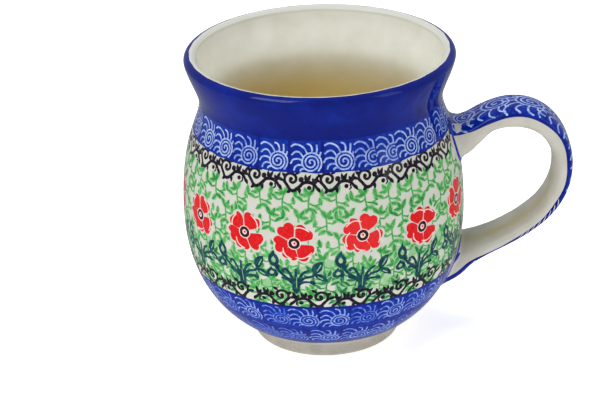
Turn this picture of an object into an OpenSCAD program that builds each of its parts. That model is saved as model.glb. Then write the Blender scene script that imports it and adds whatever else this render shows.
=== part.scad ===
// Stoneware mug with a bellied wall, a flared collar and a strap handle.
// Millimetres. +Z is up, +X points from the axis of the mug to its handle.
// The origin is on the mug's axis, in the plane that its foot ring rests on.

/* [Vessel] */
// Height of the mug at the crest of its lip
mug_h = 105; // [95:1:115]
// Largest outer radius, at the belly
belly_r = 48.8; // [47:0.2:51]
// Height at which the belly is widest
belly_z = 48; // [44:1:52]
// Outer radius at the neck, the waist under the collar
neck_r = 41.6; // [40:0.2:43]
// Height of the neck
neck_z = 88; // [86:0.5:90]
// Outer radius of the flared lip
lip_r = 46.2; // [45:0.2:48]
// Radius of the round edge of the lip
lip_round = 2.2; // [1.8:0.1:2.5]
// Thickness of the wall at the neck and at the belly, glaze included
wall = 4.3; // [3.8:0.1:5]

/* [Foot] */
// Outer radius of the foot ring
foot_r = 25.8; // [24.6:0.2:28]
// Height of the foot ring's outer wall
foot_h = 5; // [4:0.5:6]
// Radial width of the foot ring
foot_w = 5.4; // [5:0.2:6]
// Depth of the recess inside the foot ring
recess_h = 3.2; // [2:0.2:4]
// Height of the inside floor above the resting plane
floor_z = 9; // [8:0.5:11]

/* [Glaze] */
// Thickness of every coat of glaze
glaze_t = 0.4; // [0.3:0.05:0.6]
// Where the outer coat starts, as a share of the curve from the foot to the belly
glaze_start = 0.16; // [0.06:0.02:0.2]

/* [Handle] */
// Half the width of the strap where it isn't flared
strap_half_w = 8.8; // [8:0.2:10]
// Half the thickness of the strap where it isn't flared
strap_half_t = 2.8; // [2.5:0.1:3.4]
// Thickness of the slip between the handle's roots and the wall
slip_t = 0.8; // [0.5:0.1:1.2]

/* [Hidden] */
$fn = 120;

clay = "antiquewhite";
slip = "wheat";
cobalt = "mediumblue";
cream = "ivory";

// ---- wall curves, each a cubic curve of four [radius, height] points ----
curve_steps = 12;
lip_steps = 6;
lip_c = [lip_r - lip_round, mug_h - lip_round];
lip_inner_r = lip_r - 2 * lip_round;

foot_to_belly = [[foot_r, foot_h], [foot_r + 13, foot_h + 7],
                 [belly_r, belly_z - 23], [belly_r, belly_z]];
belly_to_neck = [[belly_r, belly_z], [belly_r, belly_z + 28], [neck_r, neck_z - 8], [neck_r, neck_z]];
neck_to_lip = [[neck_r, neck_z], [neck_r, neck_z + 4],
               [lip_r - 0.7, lip_c[1] - 4.3], [lip_r, lip_c[1]]];
lip_to_throat = [[lip_inner_r, lip_c[1]], [lip_inner_r - 0.7, lip_c[1] - 4.3],
                 [neck_r - wall, neck_z + 4], [neck_r - wall, neck_z]];
throat_to_belly = [[neck_r - wall, neck_z], [neck_r - wall, neck_z - 8],
                   [belly_r - wall, belly_z + 27], [belly_r - wall, belly_z]];
belly_to_floor = [[belly_r - wall, belly_z], [belly_r - wall, belly_z - 24],
                  [belly_r * 0.7, floor_z], [0, floor_z]];

function cubic(c, t) = pow(1 - t, 3) * c[0] + 3 * pow(1 - t, 2) * t * c[1]
                     + 3 * (1 - t) * t * t * c[2] + pow(t, 3) * c[3];
function cubic_dir(c, t) = pow(1 - t, 2) * (c[1] - c[0]) + 2 * (1 - t) * t * (c[2] - c[1])
                         + t * t * (c[3] - c[2]);
// Unit vector on the right of a direction, which is the outside of the glaze
function right_of(d) = [d[1], -d[0]] / norm(d);
// Points along a curve from the share t0 to its end, moved d millimetres outwards
function along(c, d, t0 = 0) =
    [for (i = [0 : curve_steps])
        let (t = t0 + (1 - t0) * i / curve_steps)
        cubic(c, t) + d * right_of(cubic_dir(c, t))];
// Points round the lip between two angles, moved d millimetres outwards
function lip_arc(a0, a1, d) =
    [for (i = [1 : lip_steps])
        let (a = a0 + (a1 - a0) * i / lip_steps)
        lip_c + (lip_round + d) * [cos(a), sin(a)]];

function outside(d) = concat(along(foot_to_belly, d, glaze_start),
                             tail(along(belly_to_neck, d)),
                             tail(along(neck_to_lip, d)), lip_arc(0, 90, d));
function inside(d) = concat([lip_c + [0, lip_round + d]], lip_arc(90, 180, d),
                            tail(along(lip_to_throat, d)),
                            tail(along(throat_to_belly, d)),
                            tail(along(belly_to_floor, d)));
function tail(list) = [for (i = [1 : len(list) - 1]) list[i]];
function reversed(list) = [for (i = [len(list) - 1 : -1 : 0]) list[i]];

// ---- foot ring, from the axis outwards, then up to the start of the glaze ----
foot_edge = 2.4;
recess_r = foot_r - foot_w;
bare_foot = concat([[0, recess_h + glaze_t], [recess_r - 1, recess_h + glaze_t],
                    [recess_r, recess_h - 1], [recess_r + 0.2, 0.6], [recess_r + 0.8, 0]],
                   [for (a = [-90 : 30 : 0]) [foot_r - foot_edge, foot_edge] + foot_edge * [cos(a), sin(a)]],
                   [for (i = [0 : 3]) cubic(foot_to_belly, glaze_start * i / 3)]);

// ---- handle: stations of [x, z, half thickness, half width] from the upper to the lower root ----
t = strap_half_t;
w = strap_half_w;
stations = [[34, 69.8, t + 4.6, w + 1.5], [46, 71.5, t + 3.5, w + 1], [51, 73.8, t + 1.9, w + 0.4],
            [57, 78, t + 0.8, w], [64, 79.9, t + 1.1, w], [71.5, 79, t + 1.2, w],
            [77.8, 74.8, t + 0.9, w], [81.8, 67.9, t + 0.7, w], [82.7, 60, t + 0.6, w],
            [81, 52.2, t + 0.4, w], [76.5, 44.9, t + 0.1, w], [69.5, 38.9, t, w], [62, 34.5, t, w],
            [55.4, 31.5, t + 0.5, w], [49, 28.8, t + 1.8, w + 0.4], [42.9, 25.3, t + 3.4, w + 1],
            [33, 21.6, t + 4.5, w + 1.5]];
steps_between = 3;
side_count = 24;
// Exponents of the section's outline: flat on the back of the strap, rounder towards the fingers
back_n = 3.6;
finger_n = 2.6;

last_span = len(stations) - 2;
count = (last_span + 1) * steps_between + 1;
// How far the joints' prisms reach from the root stations, and how much slip squeezes out
root_reach = 14;
slip_bead = 0.4;
// Smooth curve through the stations, passing each one at a whole number u
function at(u) =
    let (k = min(floor(u), last_span), t = u - k,
         p1 = stations[k], p2 = stations[k + 1],
         m1 = slope(k), m2 = slope(k + 1))
    (2 * pow(t, 3) - 3 * t * t + 1) * p1 + (pow(t, 3) - 2 * t * t + t) * m1
    + (3 * t * t - 2 * pow(t, 3)) * p2 + (pow(t, 3) - t * t) * m2;
function slope(k) = (stations[min(k + 1, last_span + 1)] - stations[max(k - 1, 0)])
                  / (min(k + 1, last_span + 1) - max(k - 1, 0));
function heading(u) =
    let (a = at(max(u - 0.05, 0)), b = at(min(u + 0.05, last_span + 1)))
    [b[0] - a[0], b[1] - a[1]] / norm([b[0] - a[0], b[1] - a[1]]);
function power(v, n) = sign(v) * pow(abs(v), 2 / n);
// The strap's section at u, as [outwards, across] points, made smaller all round by inset
function section(u, inset) =
    let (s = at(u))
    [for (i = [0 : side_count - 1])
        let (a = 360 * i / side_count, n = cos(a) > 0 ? back_n : finger_n)
        [(s[2] - inset) * power(cos(a), n), (s[3] - inset) * power(sin(a), n)]];
// The same section in its place on the handle
function ring(u, inset) =
    let (s = at(u), h = heading(u))
    [for (p = section(u, inset)) [s[0] - h[1] * p[0], p[1], s[1] + h[0] * p[0]]];
function rings(inset) = [for (i = [0 : count - 1]) each ring(i / steps_between, inset)];
// Triangles between each ring and the next, in a list of rings that starts at point base
function skin(base, flip) =
    [for (j = [0 : count - 2], i = [0 : side_count - 1])
        let (a = base + j * side_count + i, b = base + j * side_count + (i + 1) % side_count,
             c = a + side_count, d = b + side_count)
        each flip ? [[a, b, c], [b, d, c]] : [[a, c, b], [b, c, d]]];

module strap() {
    polyhedron(points = rings(glaze_t),
               faces = concat(skin(0, false),
                              [[for (i = [0 : side_count - 1]) i]],
                              [[for (i = [side_count - 1 : -1 : 0]) (count - 1) * side_count + i]]));
}

module strap_coat() {
    inner = count * side_count;
    last = (count - 1) * side_count;
    function band(o) = [for (i = [0 : side_count - 1])
        let (k = (i + 1) % side_count) each o == 0
            ? [[i, k, inner + i], [k, inner + k, inner + i]]
            : [[o + i, inner + o + i, o + k], [o + k, inner + o + i, inner + o + k]]];
    polyhedron(points = concat(rings(0), rings(glaze_t)),
               faces = concat(skin(0, false), skin(inner, true), band(0), band(last)));
}

// Everything inside the outer surface, moved d millimetres outwards and closed at the axis
module filled_vessel(d) {
    rotate_extrude()
        polygon(concat([[0, foot_h]], outside(d), [[0, mug_h + d]]));
}

// Straight prism of the root's section, slightly larger all round, along the root's heading
module root_prism(u) {
    s = at(u);
    h = heading(u);
    translate([s[0], 0, s[1]])
        rotate([0, atan2(h[0], h[1]), 0])
            linear_extrude(height = 2 * root_reach, center = true)
                polygon([for (p = section(u, -slip_bead)) [-p[0], p[1]]]);
}

module slip_joint(u) {
    color(slip)
        difference() {
            intersection() {
                root_prism(u);
                filled_vessel(slip_t);
            }
            filled_vessel(-glaze_t);
        }
}

module body_casting() {
    color(clay)
        rotate_extrude()
            polygon(concat(bare_foot, outside(-glaze_t), tail(inside(-glaze_t))));
}

module handle_casting() {
    color(clay)
        difference() {
            strap();
            filled_vessel(slip_t);
        }
}

module upper_slip_joint() {
    slip_joint(1);
}

module lower_slip_joint() {
    slip_joint(last_span);
}

module outer_glaze() {
    color(cobalt)
        difference() {
            rotate_extrude()
                polygon(concat(outside(0), reversed(outside(-glaze_t))));
            root_prism(1);
            root_prism(last_span);
        }
}

module inner_glaze() {
    color(cream)
        rotate_extrude()
            polygon(concat(inside(0), reversed(inside(-glaze_t))));
}

module handle_glaze() {
    color(cobalt)
        difference() {
            strap_coat();
            filled_vessel(slip_t);
        }
}

module base_glaze() {
    color(cream)
        translate([0, 0, recess_h])
            cylinder(r = recess_r - 1, h = glaze_t);
}

body_casting();
handle_casting();
upper_slip_joint();
lower_slip_joint();
outer_glaze();
inner_glaze();
handle_glaze();
base_glaze();
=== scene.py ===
"""Painted stoneware mug: glazed skins, hand-stamped decoration, camera and soft studio light.

Sizes are in millimetres until mm() turns them into metres. The wall's curves and the handle's
stations are those of the CAD model. Paint is laid out flat as outlines on the unrolled wall (and
on the unrolled strap), the outlines are cut into one another, and the flat map is wrapped back.
"""

import math
import random

import bpy
import numpy as np
from mathutils import Matrix, Vector
from mathutils.geometry import delaunay_2d_cdt


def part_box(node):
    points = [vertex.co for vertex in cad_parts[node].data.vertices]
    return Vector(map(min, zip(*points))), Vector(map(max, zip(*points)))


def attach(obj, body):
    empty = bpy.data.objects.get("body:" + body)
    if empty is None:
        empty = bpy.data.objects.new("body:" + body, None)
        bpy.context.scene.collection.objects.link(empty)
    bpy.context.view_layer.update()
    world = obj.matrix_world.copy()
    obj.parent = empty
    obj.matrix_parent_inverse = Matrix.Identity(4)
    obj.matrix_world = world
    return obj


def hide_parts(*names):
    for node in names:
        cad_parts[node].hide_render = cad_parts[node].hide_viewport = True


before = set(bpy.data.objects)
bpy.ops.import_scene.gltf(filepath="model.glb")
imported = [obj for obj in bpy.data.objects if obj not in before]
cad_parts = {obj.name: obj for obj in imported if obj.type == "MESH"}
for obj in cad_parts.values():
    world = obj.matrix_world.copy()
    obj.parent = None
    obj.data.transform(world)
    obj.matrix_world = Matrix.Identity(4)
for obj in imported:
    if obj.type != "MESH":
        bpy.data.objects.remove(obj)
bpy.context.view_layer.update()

# ---- sizes shared with the CAD model ----
GLAZE = 0.4
MUG_H = 1000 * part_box("body_casting")[1][2] + GLAZE
FOOT_R, FOOT_H, FOOT_W, FOOT_EDGE, RECESS_H = 25.8, 5.0, 5.4, 2.4, 3.2
BELLY_R, BELLY_Z = 48.8, 48.0
NECK_R, NECK_Z = 41.6, 88.0
LIP_R, LIP_ROUND = 46.2, 2.2
WALL, FLOOR_Z = 4.3, 9.0
GLAZE_START = 0.16
STRAP_W, STRAP_T = 8.8, 2.8


def mm(points):
    """Millimetres to metres."""
    return np.asarray(points, float) * 0.001


def unit(vectors):
    """The same vectors, each of length 1."""
    return vectors / np.maximum(np.linalg.norm(vectors, axis=1), 1e-12)[:, None]


def run_along(points):
    """The distance along a line to each of its points."""
    return np.concatenate([[0], np.cumsum(np.hypot(*np.diff(points, axis=0).T))])


# ---- curves ----
def cubic(c, t):
    """Points and directions along a cubic curve of four control points."""
    c = np.asarray(c, float)
    t = np.asarray(t, float)[:, None]
    place = (1 - t) ** 3 * c[0] + 3 * (1 - t) ** 2 * t * c[1] + 3 * (1 - t) * t * t * c[2] + t**3 * c[3]
    way = (1 - t) ** 2 * (c[1] - c[0]) + 2 * (1 - t) * t * (c[2] - c[1]) + t * t * (c[3] - c[2])
    return place, way


def arc(centre, radius, start, end, count):
    """Points and directions round an arc, angles in degrees."""
    a = np.radians(np.linspace(start, end, count))
    turn = 1 if end > start else -1
    place = np.asarray(centre) + radius * np.stack([np.cos(a), np.sin(a)], 1)
    return place, turn * np.stack([-np.sin(a), np.cos(a)], 1)


class Profile:
    """A half outline of the vessel, walked so that the outside of the clay is on the right."""

    def __init__(self, pieces):
        place = np.concatenate([p for p, _ in pieces])
        way = np.concatenate([w for _, w in pieces])
        step = np.hypot(*np.diff(place, axis=0).T)
        keep = np.concatenate([[True], step > 1e-6])
        place, way = place[keep], unit(way[keep])
        self.s = run_along(place)
        self.r, self.z = place.T
        self.nr, self.nz = way[:, 1], -way[:, 0]

    def at(self, s, out=0.0):
        """Radius, height and outward normal at the arc lengths s, moved out millimetres outwards."""
        r, z, nr, nz = (np.interp(s, self.s, v) for v in (self.r, self.z, self.nr, self.nz))
        size = np.hypot(nr, nz)
        return r + out * nr / size, z + out * nz / size, nr / size, nz / size

    def s_at_height(self, z):
        """Arc length at a height below the crest."""
        crest = int(np.argmax(self.z)) + 1
        return float(np.interp(z, self.z[:crest], self.s[:crest]))


STEPS = np.linspace(0, 1, 41)
LIP_C = (LIP_R - LIP_ROUND, MUG_H - LIP_ROUND)
LIP_IN = LIP_R - 2 * LIP_ROUND
FOOT_TO_BELLY = [(FOOT_R, FOOT_H), (FOOT_R + 13, FOOT_H + 7), (BELLY_R, BELLY_Z - 23), (BELLY_R, BELLY_Z)]
BELLY_TO_NECK = [(BELLY_R, BELLY_Z), (BELLY_R, BELLY_Z + 28), (NECK_R, NECK_Z - 8), (NECK_R, NECK_Z)]
NECK_TO_LIP = [(NECK_R, NECK_Z), (NECK_R, NECK_Z + 4), (LIP_R - 0.7, LIP_C[1] - 4.3), (LIP_R, LIP_C[1])]
LIP_TO_THROAT = [
    (LIP_IN, LIP_C[1]), (LIP_IN - 0.7, LIP_C[1] - 4.3), (NECK_R - WALL, NECK_Z + 4),
    (NECK_R - WALL, NECK_Z)]
THROAT_TO_BELLY = [
    (NECK_R - WALL, NECK_Z), (NECK_R - WALL, NECK_Z - 8), (BELLY_R - WALL, BELLY_Z + 27),
    (BELLY_R - WALL, BELLY_Z)]
BELLY_TO_FLOOR = [
    (BELLY_R - WALL, BELLY_Z), (BELLY_R - WALL, BELLY_Z - 24), (BELLY_R * 0.7, FLOOR_Z), (0, FLOOR_Z)]

# The painted skin runs over the crest of the lip to this angle of the lip's arc, where the liner starts
LINER_ANGLE = 150
RISE = [cubic(FOOT_TO_BELLY, GLAZE_START + (1 - GLAZE_START) * STEPS), cubic(BELLY_TO_NECK, STEPS),
        cubic(NECK_TO_LIP, STEPS)]
FALL = [cubic(LIP_TO_THROAT, STEPS), cubic(THROAT_TO_BELLY, STEPS), cubic(BELLY_TO_FLOOR, STEPS)]
outside = Profile(RISE + [arc(LIP_C, LIP_ROUND, 0, LINER_ANGLE, 19)])
inside = Profile([arc(LIP_C, LIP_ROUND, LINER_ANGLE, 180, 5)] + FALL)
WALL_LENGTH = outside.s[-1]
CREST_S = outside.s_at_height(MUG_H)
# How many of the outside's points lie below the crest, with the crest itself
WALL_TOP = int(np.argmax(outside.z)) + 1


# ---- outlines in the flat, in millimetres, each an array of [across, up] points ----
def smooth(points):
    """Points along a Catmull-Rom curve through the given ones."""
    p = np.asarray(points, float)
    ends = np.vstack([2 * p[0] - p[1], p, 2 * p[-1] - p[-2]])
    t = np.linspace(0, 1, 4, endpoint=False)[:, None]
    spans = [0.5 * (2 * b + (c - a) * t + (2 * a - 5 * b + 4 * c - d) * t**2 + (3 * b - a - 3 * c + d) * t**3)
             for a, b, c, d in zip(ends, ends[1:], ends[2:], ends[3:])]
    return np.vstack(spans + [p[-1:]])


def ribbon(line, half):
    """The outline of a line of changing half width, with round ends."""
    way = unit(np.gradient(line, axis=0))
    side = np.stack([-way[:, 1], way[:, 0]], 1) * half[:, None]
    start = line[:1] - 0.8 * half[0] * way[:1]
    end = line[-1:] + 0.8 * half[-1] * way[-1:]
    return np.vstack([line + side, end, (line - side)[::-1], start])


def stroke(points, width, ends=(0.8, 0.8)):
    """A brush stroke along a smooth curve, narrowed to these shares of its width at its ends."""
    line = smooth(points)
    share = np.linspace(0, 1, len(line))
    narrow = np.interp(share, [0, 0.25, 0.75, 1], [ends[0], 1, 1, ends[1]])
    return ribbon(line, 0.5 * width * narrow)


def leaf(base, tip, width):
    """A leaf with a blunt base and a pointed tip, bowed a little."""
    base, tip = np.asarray(base, float), np.asarray(tip, float)
    along = tip - base
    share = np.linspace(0, 1, 8)[:, None]
    bow = 0.32 * share * (1 - share) * np.array([[-along[1], along[0]]])
    half = 0.5 * width * np.interp(share[:, 0], [0, 0.15, 0.45, 0.75, 1], [0.3, 0.75, 1, 0.7, 0.06])
    return ribbon(base + share * along + bow, half)


def disc(centre, radius, count=14, wobble=0.0, rng=None):
    """A round dot, uneven by a share of its radius."""
    a = np.linspace(0, 2 * math.pi, count, endpoint=False)
    r = radius * (1 + wobble * np.array([rng.uniform(-1, 1) if rng else 0 for _ in a]))
    return np.asarray(centre, float) + np.stack([r * np.cos(a), r * np.sin(a)], 1)


def turned(outline, degrees, size=1.0, flip=1.0):
    """The outline mirrored across, scaled and turned about its origin."""
    a = math.radians(degrees)
    c, s = math.cos(a), math.sin(a)
    p = np.asarray(outline, float) * [size * flip, size]
    return p @ np.array([[c, s], [-s, c]])


def finely(outline, step):
    """The same closed outline, with points added so that no side is longer than step."""
    following = np.roll(outline, -1, axis=0)
    parts = np.maximum(np.ceil(np.hypot(*(following - outline).T) / step).astype(int), 1)
    return np.vstack([a + (b - a) * np.arange(n)[:, None] / n for a, b, n in zip(outline, following, parts)])


# ---- flat maps of paint ----
class Sheet:
    """A flat map, across by up in millimetres. Every outline put on it covers the earlier ones."""

    def __init__(self, length, grid):
        self.length = length
        self.grid = grid
        self.coats = []

    def put(self, outline, paint, load=1.0, band=0):
        """Adds an outline, again on the far side of the seam where it crosses the seam."""
        outline = finely(np.asarray(outline, float), self.grid)
        shifts = [0]
        shifts += [self.length] if outline[:, 0].min() < 0 else []
        shifts += [-self.length] if outline[:, 0].max() > self.length else []
        for shift in shifts:
            self.coats.append((outline + [shift, 0], paint, load, band))

    def triangles(self, low, high, grid, extra=()):
        """Cuts the map into triangles that follow every outline, between the heights low and high.

        grid lists the free points, extra lists open lines that the triangles must follow too.
        """
        verts, edges = [], []

        def add(points, closed):
            first = len(verts)
            verts.extend(Vector(p) for p in points)
            count = len(points)
            edges.extend((first + i, first + (i + 1) % count) for i in range(count - (not closed)))

        add([(0, low), (self.length, low), (self.length, high), (0, high)], True)
        for outline, *_ in self.coats:
            add(outline, True)
        for line in extra:
            add(line, False)
        verts.extend(Vector(p) for p in grid)
        flat, _, faces, *_ = delaunay_2d_cdt(verts, edges, [], 0, 1e-5, False)
        flat = np.array([v[:] for v in flat])
        faces = np.array(faces)
        mid = flat[faces].mean(1)
        inside_map = (mid[:, 0] > 0) & (mid[:, 0] < self.length) & (mid[:, 1] > low) & (mid[:, 1] < high)
        return flat, faces[inside_map], mid[inside_map]

    def top_coat(self, mid, bands):
        """For each middle of a triangle, the number of its band's last coat that covers it, or -1."""
        order = np.argsort(mid[:, 0])
        x, y = mid[order].T
        at = bands[order]
        top = np.full(len(mid), -1)
        for k, (outline, _, _, band) in enumerate(self.coats):
            a, b = np.searchsorted(x, [outline[:, 0].min(), outline[:, 0].max()])
            near = (y[a:b] > outline[:, 1].min()) & (y[a:b] < outline[:, 1].max()) & (at[a:b] == band)
            pick = np.nonzero(near)[0] + a
            if len(pick):
                pick = pick[covers(outline, x[pick], y[pick])]
                top[order[pick]] = k
        return top

    def painted_faces(self, mid, bands, grounds):
        """A list of paints, and for each triangle its paint's number in it and how loaded its print is.

        grounds names the paint of each band where nothing is printed.
        """
        top = self.top_coat(mid, bands)
        _, coat_paints, coat_loads, _ = zip(*self.coats)
        names = sorted(set(coat_paints) | set(grounds))
        ground = np.array([names.index(name) for name in grounds])[bands]
        paint = np.where(top >= 0, np.array([names.index(name) for name in coat_paints])[top], ground)
        return names, paint, np.where(top >= 0, np.array(coat_loads)[top], 1.0)


def covers(outline, x, y):
    """Which points an outline winds round."""
    x0, y0 = outline.T[:, :, None]
    x1, y1 = np.roll(outline, -1, axis=0).T[:, :, None]
    left = (x1 - x0) * (y - y0) - (x - x0) * (y1 - y0)
    up = (y0 <= y) & (y1 > y) & (left > 0)
    down = (y0 > y) & (y1 <= y) & (left < 0)
    return (up.sum(0) - down.sum(0)) != 0


def seam_safe_grid(length, low, high, step):
    """Staggered rows of free points, each with a point on both sides of the seam."""
    rows = int((high - low) / (step * 0.87)) + 1
    columns = int(length / step)
    points = []
    for j, y in enumerate(np.linspace(low, high, rows)):
        shift = 0.5 * (j % 2)
        x = (np.arange(columns) + shift) * length / columns
        points += [(v, y) for v in x]
        points += [(length, y)] if shift == 0 else [(0, y), (length, y)]
    return points


# ---- motifs, each a list of (outline, paint), with its own origin ----
SPIRAL_TURNS, SPIRAL_R = 2.75, 4.3
SHELL_RAYS = [
    [(-1.2, 2.9), (-2.2, 4.8), (-3.8, 5.9), (-5.4, 6.1), (-6.6, 5.3)],
    [(-2.6, 1.7), (-3.7, 3.3), (-5.1, 3.6), (-6.5, 2.5)],
    [(-3, 0.7), (-4.3, 1.2), (-6, 0.9), (-6.9, -0.4)],
    [(-3, -0.9), (-4.3, -0.8), (-5.4, -1.5), (-5.8, -2.6)], [(-2.2, -2), (-3.2, -2.2), (-3.7, -2.8)],
    [(0.3, 3.1), (0.4, 4.5), (-0.1, 5.9), (-1.2, 6.4)], [(1.6, 2.6), (2, 3.9), (2, 5.9)],
    [(2.6, 1.7), (3.1, 2.8), (3.3, 3.4)]]


def spiral_line():
    """A spiral from its outer end inwards, turning against the clock."""
    share = np.linspace(0, 1, 44)
    angle = math.radians(-50) + 2 * math.pi * SPIRAL_TURNS * share
    radius = SPIRAL_R * (1 - share) ** 0.8 + 0.3
    return np.stack([radius * np.cos(angle), radius * np.sin(angle)], 1)


def shell_stamp(width):
    """A snail shell with curved rays, printed by a stamp."""
    line = spiral_line() * 0.8
    marks = [ribbon(line, np.full(len(line), 0.5 * width))]
    marks += [stroke(ray, width * 1.1, (0.7, 0.9)) for ray in SHELL_RAYS]
    return [(m, "stamp_line") for m in marks]


SCROLL_VINE = [
    (0, -0.3), (1.1, -1.4), (2.7, -3.3), (4.3, -3.2), (6, -1.65), (7, -0.55), (8.4, -0.15), (10, -0.4),
    (11.4, -1.4), (12.5, -2.75)]
SCROLL_CURL = [
    (1.1, -1.4), (0.25, 0.1), (0.4, 1.5), (1.5, 2.5), (3.0, 2.5), (4.2, 1.6), (4.3, 0.2), (3.3, -0.6),
    (2.3, -0.1), (2.3, 0.8)]
SCROLL_LEAVES = [
    ((8.6, -0.3), (7.6, 2.7)), ((8.6, -0.3), (9.6, 2.6)), ((11.6, -0.6), (12.3, 2.6)),
    ((11.5, -0.4), (10.2, 1.5)), ((2.7, -3.1), (1.3, -4.4)), ((5.4, -2.0), (6, -4.5)),
    ((-2.4, 0.5), (0, -0.4)), ((4.0, 2.5), (5.9, 3.5)), ((0.9, 1.4), (-0.9, 2.6)),
    ((11.8, -1.9), (13.4, -3.9))]
SCROLL_HOOK = [(10.6, -1.65), (11, -2.75), (10.3, -3.4)]
SCROLL_DOTS = [((6.2, 0.7), 1.0), ((9.3, -2.1), 0.8), ((2.55, 0.7), 0.75)]


def scroll_motif():
    """One period of the black scroll border."""
    marks = [stroke(SCROLL_VINE, 1.25), stroke(SCROLL_CURL, 1.05, (0.8, 0.9)), stroke(SCROLL_HOOK, 0.6)]
    marks += [disc(*dot) for dot in SCROLL_DOTS]
    marks += [leaf(base, tip, 1.35) for base, tip in SCROLL_LEAVES]
    return [(m, "black") for m in marks]


SPRIG_STEMS = [
    [(0, 0), (-0.2, -2.4), (0.1, -5.4)], [(-0.1, -2.1), (-2.3, -2.7), (-4.6, -1.2)],
    [(0, -3.2), (2.1, -3.8), (4.2, -2.9)]]
SPRIG_LEAVES = [
    ((0.1, -0.6), (-2.1, 2.2), 1.5), ((-0.1, -0.6), (1.7, 2.6), 1.5), ((-0.2, -0.2), (-3.7, -0.4), 1.3),
    ((-4.6, -1.7), (-4.7, 2.0), 1.5), ((-4.7, -1.4), (-2.0, -2.6), 1.15), ((0, -5.0), (3.1, -6.5), 1.3),
    ((0.2, -5.0), (-2.4, -6.9), 1.3), ((4.3, -3.4), (3.6, -0.5), 1.3), ((1.7, -3.7), (4.2, -5.4), 1.0)]


def sprig_motif(paint):
    """A forked green sprig: pale wash under thin stems and pointed leaves."""
    marks = [(leaf(base, tip, width + 0.9), "green_wash") for base, tip, width in SPRIG_LEAVES]
    marks += [(stroke(stem, 0.9), "green_wash") for stem in SPRIG_STEMS]
    marks += [(stroke(stem, 0.45), paint) for stem in SPRIG_STEMS]
    marks += [(leaf(base, tip, 0.92 * width), paint) for base, tip, width in SPRIG_LEAVES]
    return marks


# Petals as (direction in degrees, reach, half width); the upper two are the largest
PETALS = [(50, 7.2, 3.3), (121, 7.3, 3.1), (187, 6.7, 2.9), (250, 6.1, 2.8), (321, 6.9, 3.4)]
# The outer and inner radius of the dark ring
POPPY_RING = (1.95, 0.9)


def petal(rng, reach, wide):
    """A petal that points up from the origin: narrow at the ring, widest near its notched far edge."""
    notch = rng.uniform(-0.25, 0.25) * wide
    side = rng.uniform(0.92, 1.06)
    points = [(-0.55, 1.3), (-0.70 * wide, 0.50 * reach), (-wide, 0.76 * reach),
              (-0.72 * wide, 0.96 * reach), (notch - 0.3 * wide, 0.98 * reach), (notch, 0.92 * reach),
              (notch + 0.3 * wide, reach), (0.76 * wide, 0.97 * reach), (side * wide, 0.74 * reach),
              (0.72 * wide, 0.48 * reach), (0.55, 1.3)]
    return smooth(points)


def poppy_motif(rng):
    """A red flower of five petals, white gaps and a dark ring."""
    petals = [(direction - 90, reach * rng.uniform(0.95, 1.03), wide) for direction, reach, wide in PETALS]
    marks = [(disc((0, 0), 4.6, 24), "cream")]
    marks += [(turned(petal(rng, reach + 0.7, wide + 0.6), at), "cream") for at, reach, wide in petals]
    for at, reach, wide in petals:
        marks.append((turned(petal(rng, reach, wide), at), "red"))
        if rng.random() < 0.75:
            side = rng.choice([-1, 1])
            fold = [(1.05 * side * wide, 0.50 * reach), (0.78 * side * wide, 0.74 * reach),
                    (0.3 * side * wide, 0.88 * reach), (-0.35 * side * wide, 0.93 * reach)]
            marks.append((turned(stroke(fold, 0.4), at), "petal_gap"))
    outer, inner = POPPY_RING
    marks.append((disc((0, 0), outer + 0.3, 20), "petal_gap"))
    marks.append((disc((0, 0), outer, 20, 0.04, rng), "ring"))
    marks.append((disc((0, 0), inner, 14, 0.06, rng), "petal_gap"))
    marks.append((disc((rng.uniform(-0.2, 0.2), 0.1), 0.42, 10), "red"))
    return marks


# Stems as (points, width, shares of the width at the ends)
SPRAY_STEMS = [
    ([(0, 0), (0, 2.4), (0, 5.4)], 2.2, (0.42, 1.1)),
    ([(0, 4.8), (0.05, 7), (0, 9.2)], 0.85, (1.2, 0.8)),
    ([(-0.8, 4.6), (-2, 7.4), (-3.3, 8.9), (-4.4, 8.4), (-4, 7.7)], 0.8, (1.3, 0.7)),
    ([(0.8, 4.9), (2.2, 7.7), (4.2, 9.0)], 0.85, (1.3, 0.8)),
    ([(0.6, 4.2), (3.0, 6.2), (5.4, 6.9), (6.5, 8.2)], 0.85, (1.3, 1)),
    ([(-0.7, 4.1), (-3.2, 5.8), (-5.2, 7.5), (-6.6, 9.2), (-7.3, 10.4)], 0.9, (1.3, 0.9)),
    ([(-0.8, 3.6), (-2.6, 4.9), (-4.6, 5.6)], 0.8, (1.3, 0.8)),
    ([(0.8, 3.4), (2.6, 4.5), (4.6, 4.7)], 0.75, (1.3, 0.8))]
# Ringed leaves as (centre, half width, half height, lean in degrees), solid ones as (base, tip, width)
SPRAY_LOOPS = [((-7.5, 11.6), 1.45, 1.9, 8), ((-8.1, 6.9), 1.55, 1.15, 20)]
SPRAY_LEAVES = [
    ((6.2, 8.0), (8.9, 12.4), 2.7), ((6.2, 7.4), (10.4, 4.9), 1.9), ((4.4, 4.7), (6.6, 4.0), 1.3),
    ((-6.0, 8.2), (-5.6, 10.2), 1.0), ((-6.3, 7.2), (-6.9, 5.4), 0.9)]

SPRAY_VEINS = [
    ([(6.9, 9.0), (7.7, 10.3), (8.2, 11.2)], 0.35), ([(7.2, 6.8), (8.8, 5.9)], 0.4),
    ([(0.25, 2.0), (0.2, 6.2)], 0.22)]


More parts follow.
